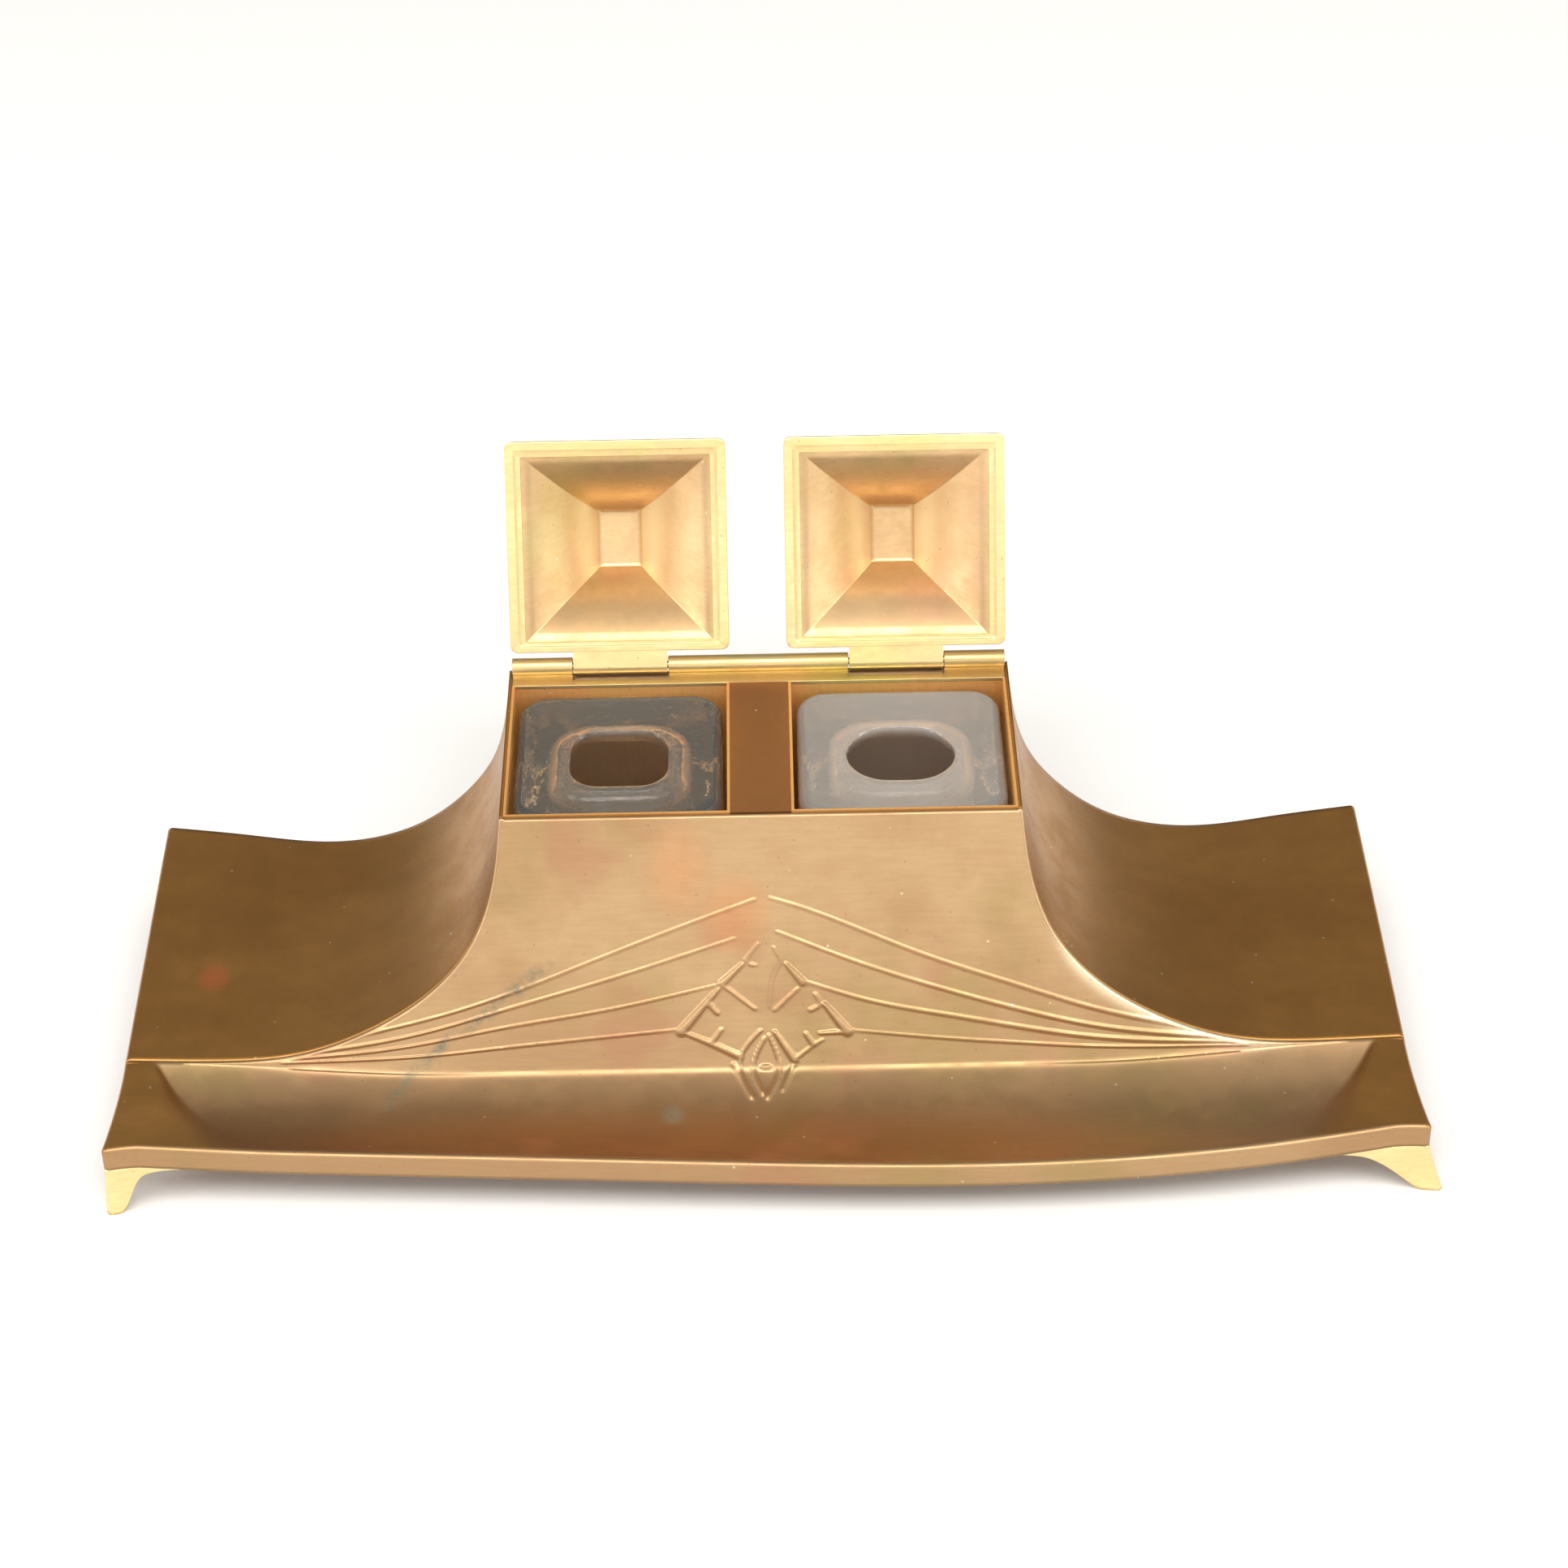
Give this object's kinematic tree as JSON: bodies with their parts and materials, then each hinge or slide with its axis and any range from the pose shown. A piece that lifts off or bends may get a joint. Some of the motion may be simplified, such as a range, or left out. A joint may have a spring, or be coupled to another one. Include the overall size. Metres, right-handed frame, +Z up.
{
  "type": "double desk inkstand",
  "caption": "Sheet-brass desk inkstand with square glass ink pots under hinged lids, saddle-shaped wings, a sloping apron and a pen trough on bracket feet.",
  "frame": {"origin": "on the table, under the middle of the box that holds the stand with its lids open", "axes": "+X to the right hand of someone facing the front, +Y to the back, +Z up"},
  "size_m": [0.2852, 0.141, 0.111],
  "materials": {
    "aged_brass": "satin brass under old brown lacquer, with wiped patches and fine scratches",
    "bright_brass": "worn, nearly bright brass with dark specks",
    "lid_brass": "warm polished brass with orange lacquer left on the flanks",
    "copper_brown": "copper-brown lacquered brass, speckled",
    "amber_lacquer": "amber lacquer over sheet brass",
    "pin_brass": "drawn brass wire",
    "clear_glass": "pressed clear glass",
    "cloudy_glass": "pressed glass, clouded inside by old ink"
  },
  "bodies": {
    "stand": {"front_panel": "aged_brass", "wing_left": "aged_brass", "wing_right": "aged_brass", "back_plate": "aged_brass", "well_divider": "copper_brown", "well_box_left": "amber_lacquer", "well_box_right": "amber_lacquer", "hinge_rail": "bright_brass", "hinge_pin_left": "pin_brass", "hinge_pin_right": "pin_brass", "foot_front_left": "bright_brass", "foot_front_right": "bright_brass", "foot_rear_left": "bright_brass", "foot_rear_right": "bright_brass"},
    "left_lid": {"lid_left": "lid_brass", "lid_frame_left": "bright_brass", "lid_knuckle_left": "bright_brass"},
    "right_lid": {"lid_right": "lid_brass", "lid_frame_right": "bright_brass", "lid_knuckle_right": "bright_brass"},
    "left_pot": {"ink_pot_left": "clear_glass"},
    "right_pot": {"ink_pot_right": "cloudy_glass"}
  },
  "joints": [
    {"name": "left_lid_hinge", "type": "hinge", "parent": "stand", "child": "left_lid", "pos_m": [0, 0.04164, 0.064], "axis": [1, 0, 0], "range_deg": [0, 115.2]},
    {"name": "right_lid_hinge", "type": "hinge", "parent": "stand", "child": "right_lid", "pos_m": [0, 0.04164, 0.064], "axis": [1, 0, 0], "range_deg": [0, 115.2]},
    {"name": "left_pot_lift", "type": "slide", "parent": "stand", "child": "left_pot", "axis": [0, 0, 1], "range_m": [0, 0.062]},
    {"name": "right_pot_lift", "type": "slide", "parent": "stand", "child": "right_pot", "axis": [0, 0, 1], "range_m": [0, 0.062]}
  ]
}
